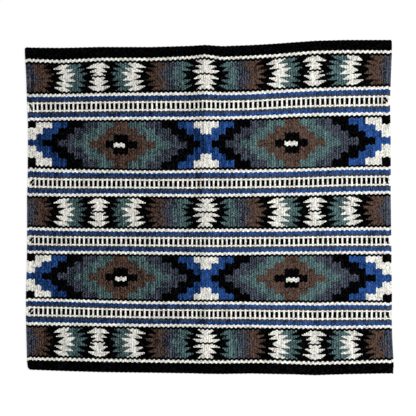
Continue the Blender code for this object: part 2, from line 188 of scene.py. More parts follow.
# The serrated bands from the side of the blanket to its middle. Each line is a yarn and the
# edge where it ends, in warps from the side. An edge runs in three strips of teeth from the
# band's rim to its middle: its place at the outer and at the inner limit of each strip.
SERRATED = (
    (SLATE, (3.6, 2.6, 4.0, 3.6, 4.5, 4.3)),
    (BROWN, (10.1, 6.7, 11.0, 7.8, 11.9, 9.4)),
    (BLACK, (15.25, 11.75, 16.1, 12.8, 17.05, 14.2)),
    (CREAM, (19.3, 16.7, 20.9, 17.45, 21.9, 19.0)),
    (TEAL, (25.0, 21.85, 26.1, 22.75, 27.0, 24.1)),
    (BLACK, (30.1, 26.7, 31.2, 27.75, 30.7, 28.1)),
    (CREAM, (33.5, 37.1, 32.75, 36.05, 33.1, 35.1)),
    (BLACK, (38.85, 42.1, 37.75, 41.1, 37.1, 39.6)),
    (TEAL, (43.95, 47.2, 42.8, 46.05, 41.7, 44.8)),
    (CREAM, (48.6, 52.15, 47.85, 51.0, 46.9, 49.7)),
    (BLACK, (53.95, 57.0, 52.75, 56.1, 51.7, 54.8)),
    (BROWN, (59.1, 61.95, 58.9, 60.6, 58.3, 59.4)),
    (SLATE, (64.3, 66.5, 63.7, 65.0, 63.3, 63.7)),
    (TEAL, (68.7, 72.1, 67.9, 71.05, 66.95, 69.6)),
    (BLACK, (74.0, 77.1, 72.95, 76.15, 71.6, 75.2)),
    (CREAM, (99.0, 99.0, 99.0, 99.0, 99.0, 99.0)),
)
SERRATED_REACH = 13  # picks from the band's middle to where its teeth start
# The limits of the strips, in picks from the band's middle, above it and below it.
LIMITS = ((13.5, 8.95, 4.75, 0.0), (13.5, 8.75, 4.3, 0.0))
# Where a thin black line crosses the cream, and the picks that draw it.
LINED, LINED_PICKS = ((28, 37), (74, 78)), (-1, 0)
# Each band, half and side of the middle has teeth of its own, a little off the common ones.
NUDGE = 0.2
nudges = rng.normal(0.0, NUDGE, (len(SERRATED_MIDDLES), 2, 2, len(SERRATED), 6))
MINGLED, STRAY = (0, 11, 12), 1.1  # the edges where two yarns mingle, and how far they stray
strays = rng.normal(0.0, STRAY, (PICKS + 1, WARPS + 1))


def edge_place(rise, places, nudge):
    """Where an edge lies, rise picks below the band's middle."""
    limits = LIMITS[int(rise > 0)]
    depth = abs(rise)
    strip = 0 if depth > limits[1] else 1 if depth > limits[2] else 2
    share = min(1.0, (limits[strip] - depth) / (limits[strip] - limits[strip + 1]))
    start = places[2 * strip] + nudge[2 * strip]
    return start + share * (places[2 * strip + 1] + nudge[2 * strip + 1] - start)


def serrated(band, pick, place, height):
    """The colour of a serrated band at a place across and a height, in the float of a pick."""
    middle = SERRATED_MIDDLES[band]
    if abs(pick - middle) > SERRATED_REACH:
        return BLACK
    half = int(is_off(place))
    place = from_side(place)
    if pick - middle in LINED_PICKS and any(low <= place < high for low, high in LINED):
        return BLACK
    rise = height - middle
    for zone, (colour, places) in enumerate(SERRATED):
        edge = edge_place(rise, places, nudges[band, half, int(rise > 0), zone])
        if zone in MINGLED:
            edge += strays[pick, int(place * 2)]
        if place < edge:
            return colour
    return BLACK


def stepped(band, pick, place):
    """The colour of a stepped band at a place across, in the float of a pick."""
    rows = STEP_ROWS[band]
    if pick < rows[0] or pick >= rows[-1]:
        return BLACK
    middle_row = len(rows) // 2 - 1
    row = max(i for i in range(len(rows) - 1) if pick >= rows[i])
    level = middle_row - abs(row - middle_row)
    (first, last), *sides = CORE_PATCHES[band]
    low, high = sides[int(is_off(place))]
    place = from_side(place)
    if STEPS_TO_SIDE[0] <= place < STEPS_TO_MIDDLE[0]:
        if level == middle_row and first <= pick < last:
            return CREAM if low <= place < high else BLACK
        return BLACK if level >= middle_row - 1 else BROWN
    if level == middle_row and STEPS_TO_SIDE[1] <= place < STEPS_TO_MIDDLE[1]:
        return BLACK
    for k, colour in enumerate(STEP_COLOURS):
        edge = level + 2 * k
        if edge >= len(STEPS_TO_SIDE) or STEPS_TO_SIDE[edge] <= place < STEPS_TO_MIDDLE[edge]:
            return colour
    return BLACK


def colour_of(pick, place, height):
    """The yarn of a float of a pick, at a place counted in warps and a height in picks."""
    for first in LINE_STARTS:
        if first <= pick < first + LINE_DEPTH:
            return CREAM
    for band, middle in enumerate(LADDER_MIDDLES):
        if abs(pick - middle) <= BAND_REACH:
            reach = TURN_WARPS[int(is_off(place) == (band == 0))]
            if from_side(place) < reach and abs(pick - middle) <= TURN_PICKS:
                return turned(band, height - middle, place)
            return ladder(pick - middle)
    for band, middle in enumerate(SERRATED_MIDDLES):
        if abs(pick - middle) <= BAND_REACH:
            return serrated(band, pick, place, height)
    for band, (low, high) in enumerate(STEPPED_BANDS):
        if low <= pick < high:
            return stepped(band, pick, place)
    return BLACK


# ---------------------------------------------------------------- the lay
# Row heights across a ladder band, by distance from its middle. Rows of a run by the middle are
# taller above it or below it, where the middle lies low or high.
LADDER_HEIGHTS = (
    1.035, 1.035, 1.035, 0.62, 0.62, 0.72, 1.02, 1.02, 1.02, 1.02, 1.02, 0.79, 0.60, 0.60,
    0.60, 0.90, 1.20,
)
LADDER_LEANS = (-0.2, 0.45, 0.0, -0.55)  # how far low each ladder's middle lies, in picks
LEAN_FIRST, LEAN_LAST = 3, 12
# Row heights by the middle of a serrated band, from two rows above it, and by the cream line of
# an end band, from one row above it.
SERRATED_HEIGHTS = (0.7, 0.65, 0.95, 0.9, 0.7)
LINE_HEIGHTS = (1.2, 0.95, 0.6, 0.6, 0.6, 0.95, 1.2)


def pick_heights():
    """The height of each row, before the rows are fitted between the cream lines."""
    height = np.ones(PICKS + 2)
    for middle, low in zip(LADDER_MIDDLES, LADDER_LEANS):
        for k, value in enumerate(LADDER_HEIGHTS):
            tilt = low / (LEAN_LAST - LEAN_FIRST) if LEAN_FIRST <= k < LEAN_LAST else 0.0
            height[middle + k + 1] = value * (1 - tilt)
            height[middle - k] = value * (1 + tilt)
    for middle in SERRATED_MIDDLES:
        height[middle - 2 : middle - 2 + len(SERRATED_HEIGHTS)] = SERRATED_HEIGHTS
    for first in LINE_STARTS:
        height[first - 1 : first - 1 + len(LINE_HEIGHTS)] = LINE_HEIGHTS
    return height


CUMULATIVE = np.concatenate([[0.0], np.cumsum(pick_heights())])

# How far the rows of the first stepped band ride up, in drawing units: a share for each pick of
# the band's steps, times a rise for each place across.
DRIFT_PICKS = (77, 85, 91, 97, 104, 110, 116, 122, 125.5)
DRIFT_SHARES = (0.0, 0.45, 0.5, 0.6, 1.0, 1.0, 1.1, 0.8, 0.0)
DRIFT_U = (28, 60, 80, 110, 130, 150, 180, 200, 230, 330, 360, 388)
DRIFT_RISE = (1.9, 1.5, 1.0, 0.1, -0.4, -0.8, -0.9, -0.1, 0.2, -1.4, -0.7, -0.2)


def lay_rows(u):
    """v of each row of the weave at the places u: an array of (rows, places)."""
    rows = np.arange(-1, PICKS + 1)
    run = np.interp(rows, np.arange(-1, PICKS + 2), CUMULATIVE)
    stations = np.interp(LINE_PICKS, np.arange(-1, PICKS + 2), CUMULATIVE)
    lines = np.array([np.interp(u, LINE_U, row) for row in LINE_V])
    out = np.empty((len(rows), len(u)))
    for i, value in enumerate(run):
        k = int(np.clip(np.searchsorted(stations, value, side="right") - 1, 0, len(stations) - 2))
        share = (value - stations[k]) / (stations[k + 1] - stations[k])
        out[i] = lines[k] * (1 - share) + lines[k + 1] * share
    drift = np.interp(rows, DRIFT_PICKS, DRIFT_SHARES)[:, None]
    return out - drift * np.interp(u, DRIFT_U, DRIFT_RISE)[None, :]


warp_u = np.interp(
    np.arange(WARPS),
    np.append(np.arange(0, WARPS - WARP_STEP + 1, WARP_STEP), WARPS - 1),
    WARP_STATIONS,
)
edge_u = np.empty(WARPS + 1)
edge_u[1:-1] = (warp_u[1:] + warp_u[:-1]) / 2
edge_u[0] = warp_u[0] - (warp_u[1] - warp_u[0]) / 2
edge_u[-1] = warp_u[-1] + (warp_u[-1] - warp_u[-2]) / 2
# The cloth tucks into the side cords.
SIDE_CORD_HALF, SIDE_CORD_TUCK = 1.35, 0.5
CORD_INSET = 1.0  # from the blanket's edge to a side cord's middle
left_mean, right_mean = np.mean(LEFT_EDGE) + CORD_INSET, np.mean(RIGHT_EDGE) - CORD_INSET
edge_u[1] = left_mean + SIDE_CORD_TUCK * SIDE_CORD_HALF
edge_u[-2] = right_mean - SIDE_CORD_TUCK * SIDE_CORD_HALF

ACROSS = 4  # mesh columns to a warp
ROWS = PICKS + 2
COLUMNS = WARPS * ACROSS + 1
# How far a float's sides swell, in warps, and what share of it is left where two colours meet.
ZIGZAG, ZIGZAG_RANGE, JOINT = 0.28, (0.6, 1.3), 0.2
BAR_SWELL, BAR_RANGE, BAR_ROWS = 0.11, (0.7, 1.3), (-2, 5)
SLANT = 0.06  # how far a float leans, in picks
RIB, GROOVE = 0.0013, 0.00035  # a cushion's height, and how much lower a float's end is
CUSHION = 0.8  # the fullness of its section
SKIN = 0.0001  # how far the cloth's faces stay inside the thickness
CREST_STRAY = 0.00008
CHART_LEAD = 2  # picks in the chart before pick 0

row_number = np.arange(-1, PICKS + 1)
# The columns' edges push out where a float is at its widest.
edges = np.repeat(edge_u[None, :], ROWS, 0)
pitch = np.gradient(edge_u)
wide = np.where((np.arange(WARPS + 1)[None, :] - 1 + row_number[:, None]) % 2 == 0, 1.0, -1.0)
push = ZIGZAG * pitch[None, :] * wide * rng.uniform(*ZIGZAG_RANGE, edges.shape)
chart = np.array(
    [
        [colour_of(p, w + 0.5, p) for w in range(WARPS)]
        for p in range(-CHART_LEAD, PICKS + CHART_LEAD + 1)
    ],
    np.int32,
)
joint = np.zeros(edges.shape, bool)
joint[:, 1:-1] = chart[1 : ROWS + 1, 1:] != chart[1 : ROWS + 1, :-1]
push = np.where(joint, JOINT * push, push)
# The ladders' bars are full, with straight sides.
for middle in LADDER_MIDDLES:
    bars = slice(middle + BAR_ROWS[0], middle + BAR_ROWS[1])
    side = np.where((np.arange(WARPS + 1) - 1 + middle) % 2 == 0, 1.0, -1.0)
    push[bars] = (BAR_SWELL * pitch * side)[None, :] * rng.uniform(*BAR_RANGE, push[bars].shape)
edges = edges + push

share = np.arange(ACROSS) / ACROSS
u = np.empty((ROWS, COLUMNS))
for q in range(ACROSS):
    u[:, q:-1:ACROSS] = edges[:, :-1] * (1 - share[q]) + edges[:, 1:] * share[q]
u[:, -1] = edges[:, -1]

column_u = np.interp(np.arange(COLUMNS) / ACROSS, np.arange(WARPS + 1), edge_u)
v = lay_rows(column_u)
row_gap = np.gradient(v, axis=0)
across = np.arange(COLUMNS) % ACROSS / ACROSS  # 0 at a warp's left edge
left_warp = np.arange(COLUMNS) // ACROSS
float_here = (left_warp[None, :] + row_number[:, None]) % 2 == 0
lean = np.where(float_here, across[None, :] - 0.5, 0.5 - across[None, :]) * 2
v = v + SLANT * lean * row_gap


def side_bow(v):
    """How far the two sides lie off their mean places at heights v."""
    left = np.interp(v, SIDE_V, LEFT_EDGE) - np.mean(LEFT_EDGE)
    return left, np.interp(v, SIDE_V, RIGHT_EDGE) - np.mean(RIGHT_EDGE)


def wander(u, v):
    """How far the warps wander at the places u, v."""
    lines = np.array([np.interp(u, WANDER_U, row) for row in WANDER])
    share = np.clip(np.interp(v, WANDER_V, np.arange(len(WANDER_V))), 0, len(WANDER_V) - 1.001)
    low = share.astype(int)
    across = np.arange(len(u))[None, :]
    return lines[low, across] * (1 - share + low) + lines[low + 1, across] * (share - low)


def to_metres(u, v):
    """x and y of places in the drawing."""
    return FOLD_X + (np.asarray(u) - FOLD_U) * UNIT, (MIDDLE_V - np.asarray(v)) * UNIT


BOW_REACH = 9.0  # warps over which a side's bow dies away
bow_left, bow_right = side_bow(v)
warp_place = np.arange(COLUMNS) / ACROSS
u = u + wander(column_u, v)
u = u + bow_left * np.exp(-warp_place / BOW_REACH)
u = u + bow_right * np.exp(-(WARPS - warp_place) / BOW_REACH)
x, y = to_metres(u, v)

rise = np.sin(np.pi * across) ** CUSHION
crest_noise = rng.normal(0, 1, (ROWS, WARPS + 1))[:, np.minimum(left_warp, WARPS)]
top = rise[None, :] * (RIB - np.where(float_here, 0.0, GROOVE) + CREST_STRAY * crest_noise)
bottom = rise[None, :] * (RIB - np.where(float_here, GROOVE, 0.0))
z_top = THICKNESS - SKIN - RIB + top
z_bottom = SKIN + RIB - bottom
# How deep each point lies below its cushion's crest; the yarns paint shade in the grooves by it.
depth_top = 1.0 - top / RIB
depth_bottom = 1.0 - bottom / RIB

# ---------------------------------------------------------------- yarns
# Each yarn's light and dark colours, the middle level between them, the spread between floats,
# the contrast of its fibres and of its lumps, how dark its grooves are painted (painted shade),
# its shine, and how far painted light makes it lighter on the off side, and painted shade darker
# on the near side, than in the middle.
YARNS = {
    BLACK: ("yarn_black", (0.0042, 0.0045, 0.0055), (0.0, 0.0, 0.0),
            0.11, 0.10, 0.7, 5.0, 0.3, 0.004, 0.05),
    CREAM: ("yarn_cream", (0.86, 0.85, 0.785), (0.26, 0.25, 0.225),
            0.53, 0.14, 0.5, 2.0, 0.45, 0.10, 0.05),
    BLUE: ("yarn_blue", (0.019, 0.064, 0.225), (0.001, 0.008, 0.030),
           0.53, 0.28, 0.8, 2.8, 0.7, 0.03, 0.23),
    BROWN: ("yarn_brown", (0.091, 0.056, 0.043), (0.010, 0.005, 0.003),
            0.53, 0.13, 0.8, 3.2, 0.7, 0.03, 0.14),
    TEAL: ("yarn_teal", (0.086, 0.148, 0.153), (0.006, 0.013, 0.013),
           0.52, 0.22, 0.8, 2.6, 1.4, 0.03, 0.12),
    SLATE: ("yarn_slate", (0.054, 0.063, 0.086), (0.001, 0.002, 0.004),
            0.47, 0.26, 0.8, 3.4, 1.8, 0.03, 0.15),
    CHARCOAL: ("yarn_charcoal", (0.052, 0.066, 0.102), (0.003, 0.005, 0.010),
               0.50, 0.2, 0.6, 2.5, 1.1, 0.03, 0.15),
}
# Each noise's stretch, scale and detail.
FIBRES = ((0.25, 1.0, 1.0), 2600.0, 3.0)
LUMPS = ((1.0, 0.6, 0.3), 330.0, 1.0)
HUES = ((1.0, 1.0, 1.0), 230.0, 1.0)
TINT = 0.45  # how far a yarn's hue strays
GROOVE_LIFT = 0.23  # what the painted groove shade takes from a yarn's mean, given back to its level
PAINTED_SIDE_X = 0.2  # how far from the middle the painted side light and shade reach in full
BRIGHTEST = 0.95
BUMP_STRENGTH, BUMP_DISTANCE = 0.5, 0.0004
ROUGHNESS, ROUGHNESS_SPREAD = 0.8, 0.15


def link(tree, a, b):
    tree.links.new(a, b)


def feed(tree, socket, value):
    """Sets a socket to a constant, or links it."""
    if isinstance(value, (int, float, tuple)):
        socket.default_value = value
    else:
        link(tree, value, socket)


def attribute(tree, name, output):
    node = tree.nodes.new("ShaderNodeAttribute")
    node.attribute_name = name
    return node.outputs[output]


def maths(tree, operation, a, b):
    node = tree.nodes.new("ShaderNodeMath")
    node.operation = operation
    feed(tree, node.inputs[0], a)
    feed(tree, node.inputs[1], b)
    return node.outputs[0]


def vector_maths(tree, operation, *values):
    node = tree.nodes.new("ShaderNodeVectorMath")
    node.operation = operation
    for socket, value in zip(node.inputs, values):
        feed(tree, socket, value)
    return node.outputs["Vector"]


def stretched_noise(tree, vector, stretch, scale, detail, output="Fac"):
    mapping = tree.nodes.new("ShaderNodeMapping")
    mapping.inputs["Scale"].default_value = stretch
    link(tree, vector, mapping.inputs["Vector"])
    noise = tree.nodes.new("ShaderNodeTexNoise")
    noise.inputs["Scale"].default_value = scale
    noise.inputs["Detail"].default_value = detail
    link(tree, mapping.outputs["Vector"], noise.inputs["Vector"])
    return noise.outputs[output]


def painted_side_ramp(tree, rest, painted_side_light):
    """Painted light and shade across the blanket: from minus the given amount on the near side to
    plus it on the off side.
    """
    split = tree.nodes.new("ShaderNodeSeparateXYZ")
    link(tree, rest, split.inputs["Vector"])
    side = tree.nodes.new("ShaderNodeMapRange")
    side.interpolation_type = "SMOOTHSTEP"
    for name, value in (
        ("From Min", -PAINTED_SIDE_X), ("From Max", PAINTED_SIDE_X), ("To Min", -painted_side_light), ("To Max", painted_side_light),
    ):
        side.inputs[name].default_value = value
    link(tree, split.outputs["X"], side.inputs["Value"])
    return side.outputs["Result"]


def yarn_material(name, light, dark, level, spread, fibre, lumps, painted_groove_shade, shine, painted_side_light):
    """A yarn's material, with painted shade in its grooves, painted shade on its near side and
    painted light on its off side. It reads the attributes that dress gives a mesh.
    """
    material = bpy.data.materials.new(name)
    material.use_nodes = True
    tree = material.node_tree
    shader = tree.nodes["Principled BSDF"]
    rest = attribute(tree, "rest", "Vector")
    fine = stretched_noise(tree, rest, *FIBRES)
    coarse = stretched_noise(tree, rest, *LUMPS)
    hue = stretched_noise(tree, rest, *HUES, "Color")
    factor = maths(tree, "MULTIPLY", attribute(tree, "shade", "Fac"), spread)
    # painted shade on the near side, painted light on the off side
    factor = maths(tree, "ADD", factor, painted_side_ramp(tree, rest, painted_side_light))
    factor = maths(tree, "ADD", factor, level + GROOVE_LIFT * painted_groove_shade - 0.5 * (fibre + lumps))
    factor = maths(tree, "ADD", factor, maths(tree, "MULTIPLY", fine, fibre))
    factor = maths(tree, "ADD", factor, maths(tree, "MULTIPLY", coarse, lumps))
    # painted shade in the grooves: the deeper a point lies below its crest, the darker
    painted_groove_weight = maths(tree, "POWER", attribute(tree, "depth", "Fac"), 2.0)
    factor = maths(tree, "SUBTRACT", factor, maths(tree, "MULTIPLY", painted_groove_weight, painted_groove_shade))
    mix = tree.nodes.new("ShaderNodeMix")
    mix.data_type = "RGBA"
    mix.clamp_factor = False
    link(tree, maths(tree, "MAXIMUM", factor, 0.0), mix.inputs["Factor"])
    mix.inputs["A"].default_value = (*dark, 1)
    mix.inputs["B"].default_value = (*light, 1)
    tinted = vector_maths(tree, "MULTIPLY_ADD", hue, (TINT,) * 3, (1 - TINT / 2,) * 3)
    tinted = vector_maths(tree, "MULTIPLY", mix.outputs["Result"], tinted)
    tinted = vector_maths(tree, "MINIMUM", tinted, (BRIGHTEST,) * 3)
    link(tree, tinted, shader.inputs["Base Color"])
    bump = tree.nodes.new("ShaderNodeBump")
    bump.inputs["Strength"].default_value = BUMP_STRENGTH
    bump.inputs["Distance"].default_value = BUMP_DISTANCE
    link(tree, fine, bump.inputs["Height"])
    link(tree, bump.outputs["Normal"], shader.inputs["Normal"])
    rough = maths(tree, "MULTIPLY", coarse, ROUGHNESS_SPREAD)
    link(tree, maths(tree, "ADD", rough, ROUGHNESS), shader.inputs["Roughness"])
    shader.inputs["Specular IOR Level"].default_value = shine
    return material


materials = [yarn_material(*YARNS[key]) for key in sorted(YARNS)]

# ---------------------------------------------------------------- the woven pieces
face_rows, face_columns = ROWS - 1, COLUMNS - 1
face_warp = np.arange(face_columns) // ACROSS
face_low = np.arange(face_rows)[:, None] - 1
even = (face_warp[None, :] + face_low) % 2 == 0
top_pick = np.where(even, face_low, face_low + 1)
under_pick = np.where(even, face_low + 1, face_low)

# Floats differ a little, picks too, and each warp's rib more so, in runs along the warp.
FLOAT_SHADE, PICK_SHADE, RIB_SHADE, SHADE_LIMIT = 0.25, 0.15, 0.8, 1.8
RIB_RUN = 12  # picks
PAINTED_CREASE_U = (192, 196, 203, 205, 209, 216)  # painted shade on the fold crease's near side, painted light on its off side
PAINTED_CREASE_SHADE = (0.0, -0.9, -1.0, 0.5, 0.5, 0.0)
LINE_GLOW = 1.0  # how much lighter the cream lines' yarn is
shade_chart = rng.normal(0, FLOAT_SHADE, chart.shape)
shade_chart += rng.normal(0, PICK_SHADE, (chart.shape[0], 1))
rib_shade = rng.normal(0, 1.0, (chart.shape[0] // RIB_RUN + 3, WARPS))
runs = np.arange(chart.shape[0]) / RIB_RUN
low_run = runs.astype(int)
blend = (runs - low_run)[:, None]
rib_shade = rib_shade[low_run] * (1 - blend) + rib_shade[low_run + 1] * blend
shade_chart = np.clip(shade_chart + RIB_SHADE * rib_shade, -SHADE_LIMIT, SHADE_LIMIT)
# painted shade and painted light by the fold's crease
shade_chart += np.interp(warp_u, PAINTED_CREASE_U, PAINTED_CREASE_SHADE)[None, :]
ladder_rows = np.arange(-BAND_REACH, BAND_REACH + 1)
lined = [first + np.arange(LINE_DEPTH) for first in LINE_STARTS]
lined += [middle + ladder_rows for middle in LADDER_MIDDLES]
lined = np.concatenate(lined) + CHART_LEAD
shade_chart[lined] += np.where(chart[lined] == CREAM, LINE_GLOW, 0.0)


def face_colours(picks):
    """Each face's yarn: the pattern is drawn at the faces' own places."""
    places = (np.arange(face_columns) + 0.5) / ACROSS
    return np.array(
        [
            [colour_of(picks[r, c], places[c], r - 0.5) for c in range(face_columns)]
            for r in range(face_rows)
        ],
        np.int32,
    )


def face_shade(picks):
    rows = np.clip(picks + CHART_LEAD, 0, len(shade_chart) - 1)
    return shade_chart[rows, face_warp[None, :]]


top_colour, under_colour = face_colours(top_pick), face_colours(under_pick)
top_shade, under_shade = face_shade(top_pick), face_shade(under_pick)


def dress(mesh, points, shade, depth):
    """Gives a mesh what the yarns' materials read."""
    mesh.update(calc_edges=True)
    for name, kind, domain, field, values in (
        ("shade", "FLOAT", "FACE", "value", shade),
        ("depth", "FLOAT", "POINT", "value", depth),
        ("rest", "FLOAT_VECTOR", "POINT", "vector", points),
    ):
        layer = mesh.attributes.new(name, kind, domain)
        layer.data.foreach_set(field, values.astype(np.float32).ravel())


def yarn_slots(mesh, yarns):
    """Gives a mesh the materials of its faces' yarns."""
    kinds = np.unique(yarns)
    mesh.polygons.foreach_set("material_index", np.searchsorted(kinds, yarns).astype(np.int32))
    for kind in kinds:
        mesh.materials.append(materials[kind])


def add_piece(name, mesh, uv):
    """An object of a mesh, with its bake map."""
    mesh.uv_layers.new(name="OFBake").data.foreach_set("uv", uv.astype(np.float32).ravel())
    piece = bpy.data.objects.new(name, mesh)
    bpy.context.scene.collection.objects.link(piece)
    return piece


MAP_MARGIN = 0.01  # kept free round each half of a bake map


def woven(name, mask):
    """A closed piece of the cloth from the faces that mask picks, and its flat size."""
    rr, cc = np.nonzero(mask)
    size = ROWS * COLUMNS
    a = rr * COLUMNS + cc
    b, c, d = a + COLUMNS, a + COLUMNS + 1, a + 1
    tops = np.stack([a, b, c, d], 1)
    unders = np.stack([a, d, c, b], 1) + size
    walls, wall_source = [], []
    framed = np.pad(mask, 1)
    sides = (
        (framed[1:-1, :-2], a, b),
        (framed[2:, 1:-1], b, c),
        (framed[1:-1, 2:], c, d),
        (framed[:-2, 1:-1], d, a),
    )
    for neighbour, p, q in sides:
        open_side = ~neighbour[rr, cc]
        p, q = p[open_side], q[open_side]
        walls.append(np.stack([q, p, p + size, q + size], 1))
        wall_source.append(np.nonzero(open_side)[0])
    walls, wall_source = np.concatenate(walls), np.concatenate(wall_source)
    faces = np.concatenate([tops, unders, walls])
    used, index = np.unique(faces, return_inverse=True)
    index = index.reshape(-1, 4)
    points = np.concatenate(
        [np.stack([x, y, z_top], 2).reshape(-1, 3), np.stack([x, y, z_bottom], 2).reshape(-1, 3)]
    )[used]
    depth = np.concatenate([depth_top.reshape(-1), depth_bottom.reshape(-1)])[used]
    mesh = bpy.data.meshes.new(name)
    mesh.vertices.add(len(points))
    mesh.vertices.foreach_set("co", points.astype(np.float32).ravel())
    mesh.loops.add(index.size)
    mesh.loops.foreach_set("vertex_index", index.astype(np.int32).ravel())
    mesh.polygons.add(len(index))
    mesh.polygons.foreach_set("loop_start", np.arange(0, index.size, 4, dtype=np.int32))
    mesh.polygons.foreach_set("loop_total", np.full(len(index), 4, np.int32))
    smooth = np.ones(len(index), bool)
    smooth[2 * len(rr) :] = False
    mesh.polygons.foreach_set("use_smooth", smooth)
    own_colour, own_shade = top_colour[rr, cc], top_shade[rr, cc]
    yarn_slots(mesh, np.concatenate([own_colour, under_colour[rr, cc], own_colour[wall_source]]))
    shade = np.concatenate([own_shade, under_shade[rr, cc], own_shade[wall_source]])
    dress(mesh, points, shade, depth)
    # The upper faces and the walls lie in the map's upper half, the lower faces below them.
    low, high = points.min(0), points.max(0)
    share = (points[index.ravel()] - low) / (high - low)
    is_under = np.zeros(len(index), bool)
    is_under[len(rr) : 2 * len(rr)] = True
    across_map = MAP_MARGIN + (1 - 2 * MAP_MARGIN) * share[:, 0]
    up_map = MAP_MARGIN + (0.5 - 2 * MAP_MARGIN) * share[:, 1]
    up_map += np.where(np.repeat(is_under, 4), 0.0, 0.5)
    piece = add_piece(name, mesh, np.stack([across_map, up_map], 1))
    return piece, (float(high[0] - low[0]), float(high[1] - low[1]))


# The model's parts of a stepped band, which its weave stands in for.
STEPPED_PARTS = ("ground_by_fold", "teal_by_fold", "core", "teal_by_side", "ground_by_side")
WARP_BAND = "serrated_middle"  # the weave that stands for the hidden warp too

cloth = (face_warp > 0) & (face_warp < WARPS - 1)
for half, columns in (("near", face_warp < FOLD_WARP), ("off", face_warp >= FOLD_WARP)):
    for i, band in enumerate(BAND_NAMES):
        mask = (columns & cloth)[None, :]
        if i > 0:
            mask = mask & (top_pick >= BAND_STARTS[i])
        if i < len(BAND_NAMES) - 1:
            mask = mask & (top_pick < BAND_STARTS[i + 1])
        piece, flat = woven(f"{half}_{band}_weave", mask)
        kind = band.split("_")[0]
        nodes = [f"{half}_{band}"]
        if kind == "stepped":
            nodes = [f"{half}_{band}_{part}" for part in STEPPED_PARTS]
        if half == "off":
            nodes.append(f"spine_{band}")
        if band == WARP_BAND:
            nodes.append(f"warp_{half}")
            if half == "off":
                nodes.append("warp_spine")
        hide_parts(*nodes)
        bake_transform(piece)

# ---------------------------------------------------------------- the cords round the edge
FOLDS = 8  # a cord's bake map lies in this many rows
FOLDS_USED = FOLDS * 0.999
SEAM = 0.03  # kept free beside a strand and a row of the map, as a share of each


def tubes(name, strands, picked, shades):
    """A piece of tubes. A strand is an array (rings, sides, 3) of points; picked and shades give
    each ring gap's yarn and shade."""
    faces, yarns, face_shades, maps, caps = [], [], [], [], []
    first = 0
    for number, strand in enumerate(strands):
        rings, sides = strand.shape[:2]
        i, k = np.meshgrid(np.arange(rings - 1), np.arange(sides), indexing="ij")
        a = first + i * sides + k
        b = first + i * sides + (k + 1) % sides
        faces.append(np.stack([a, b, b + sides, a + sides], 2).reshape(-1, 4))
        yarns.append(np.repeat(picked[number], sides))
        face_shades.append(np.repeat(shades[number], sides))
        along = i / (rings - 1) * FOLDS_USED
        row = np.floor(along)
        here, beyond = along - row, along - row + FOLDS / (rings - 1)
        us = np.clip(np.stack([here, here, beyond, beyond], 2), 0, 1)
        low = (number + (k + SEAM) / sides) / len(strands)
        high = (number + (k + 1 - SEAM) / sides) / len(strands)
        vs = row[..., None] + SEAM + (1 - 2 * SEAM) * np.stack([low, high, high, low], 2)
        us = MAP_MARGIN + (1 - 2 * MAP_MARGIN) * us
        maps.append(np.stack([us, vs / FOLDS], 3).reshape(-1, 2))
        last = first + (rings - 1) * sides
        caps.append(list(range(first + sides - 1, first - 1, -1)))
        caps.append(list(range(last, last + sides)))
        first = last + sides
    points = np.concatenate([strand.reshape(-1, 3) for strand in strands])
    yarns = np.concatenate(yarns + [np.full(len(caps), yarns[0][0])])
    face_shades = np.concatenate(face_shades + [np.zeros(len(caps))])
    uv = np.concatenate(maps + [np.full((sum(len(cap) for cap in caps), 2), MAP_MARGIN / 2)])
    mesh = bpy.data.meshes.new(name)
    mesh.from_pydata(points.tolist(), [], np.concatenate(faces).tolist() + caps)
    mesh.polygons.foreach_set("use_smooth", np.ones(len(yarns), bool))
    yarn_slots(mesh, yarns)
    dress(mesh, points, face_shades, np.zeros(len(points)))
    return add_piece(name, mesh, uv)


def coil(centre_x, centre_y, along_y, turns, radius, thick, steps=16, sides=8):
    """A cord of thickness thick wound round a line along Y."""
    turn = np.linspace(0, 2 * np.pi * turns, turns * steps + 1)
    middle = np.stack([
        centre_x + radius * np.cos(turn),
        centre_y + along_y * (turn / turn[-1] - 0.5),
        MIDDLE_Z + radius * np.sin(turn),
    ], 1)
    out = np.stack([np.cos(turn), np.zeros_like(turn), np.sin(turn)], 1)
    around = np.linspace(0, 2 * np.pi, sides, endpoint=False)
    return (
        middle[:, None]
        + thick / 2 * np.cos(around)[None, :, None] * out[:, None]
        + thick / 2 * np.sin(around)[None, :, None] * np.array([0.0, 1.0, 0.0])
    )


CORD_SIDES = 14
SIDE_CORD_RISE = 0.0035  # half the side cord's height
SIDE_CORD_LEAN = 0.22  # how far a float leans round the cord, in picks
FULL, SLIM, GIRTH_RANGE = 1.06, 0.93, (0.97, 1.03)
KNOT_TURNS, KNOT_LENGTH, KNOT_RADIUS, KNOT_THICK, KNOT_SHADE = 3, 0.009, 0.0022, 0.0031, 0.4
# How far each corner's knot lies from the cord's end, to the off side and to the rear.
KNOT_PLACES = {
    ("near", 0): (0.0013, 0.0014), ("off", 0): (-0.0016, 0.0020),
    ("near", 1): (0.0008, -0.0042), ("off", 1): (0.0014, -0.0020),
}


